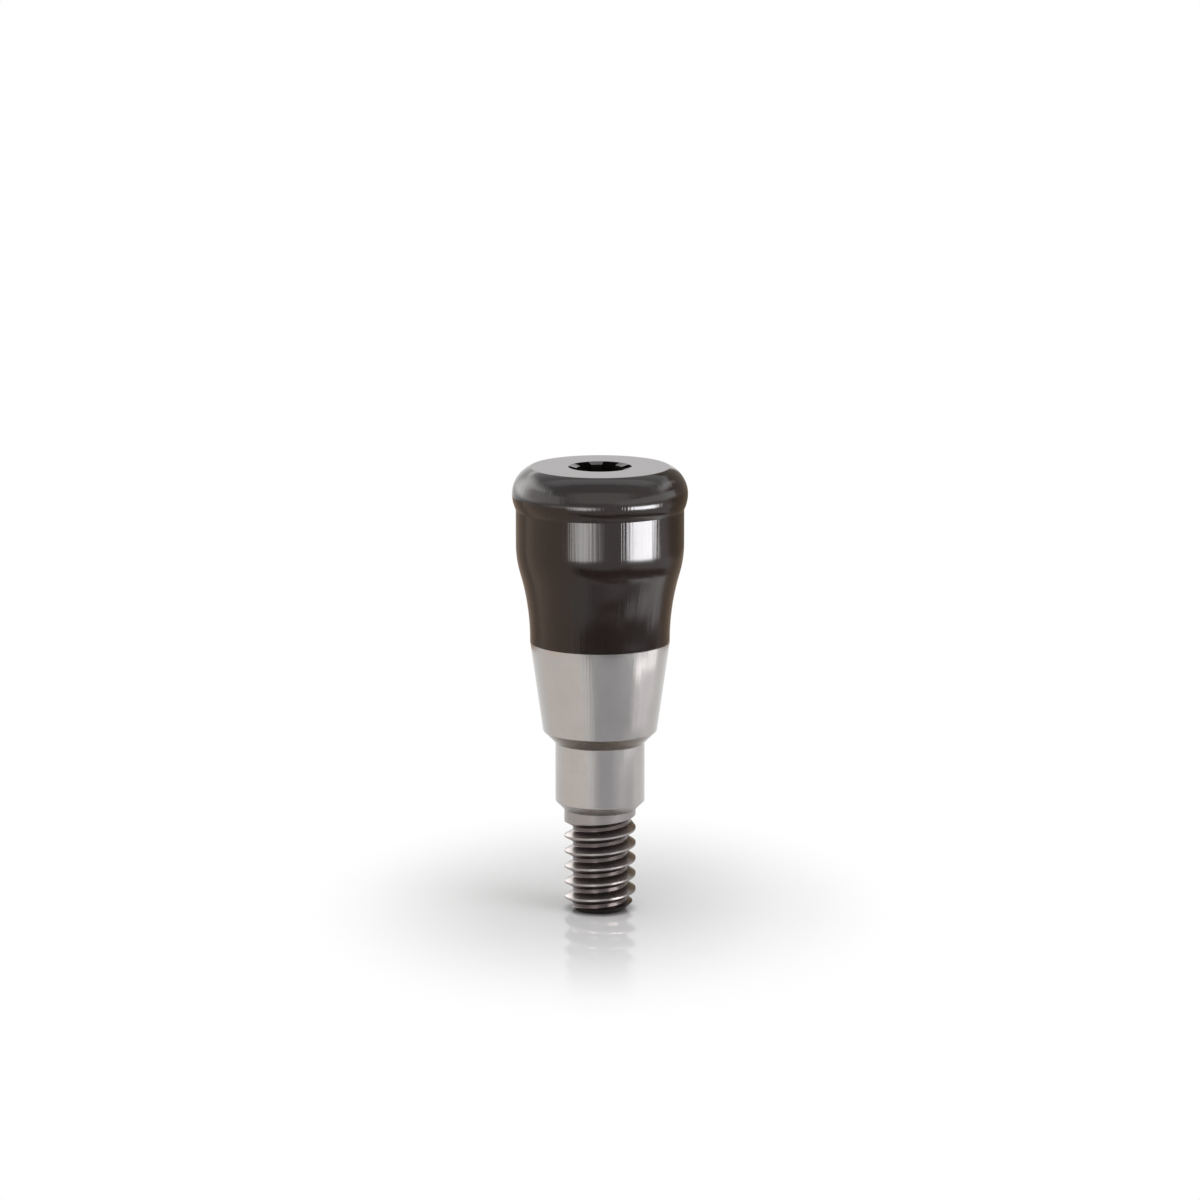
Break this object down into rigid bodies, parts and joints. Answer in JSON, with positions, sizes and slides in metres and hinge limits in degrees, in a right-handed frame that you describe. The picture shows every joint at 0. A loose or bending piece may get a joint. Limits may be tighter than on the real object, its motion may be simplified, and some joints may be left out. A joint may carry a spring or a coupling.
{
  "type": "overdenture abutment",
  "caption": "One-piece turned titanium implant abutment: dark-coated retention button and waist over a bare seating cone, guide barrel and fine screw thread",
  "frame": {"origin": "centre of the flat end face of the screw's tip", "axes": "+Z along the part's axis, from the screw's tip to the flat top of the button; +X where the thread's last groove fades out"},
  "size_m": [0.0038, 0.0038, 0.01],
  "materials": {
    "abutment": "fine-turned titanium alloy, bare satin below the seating cone's top edge and dark brown-black hard-coated above it"
  },
  "bodies": {
    "root": {"abutment": "abutment"}
  },
  "joints": []
}
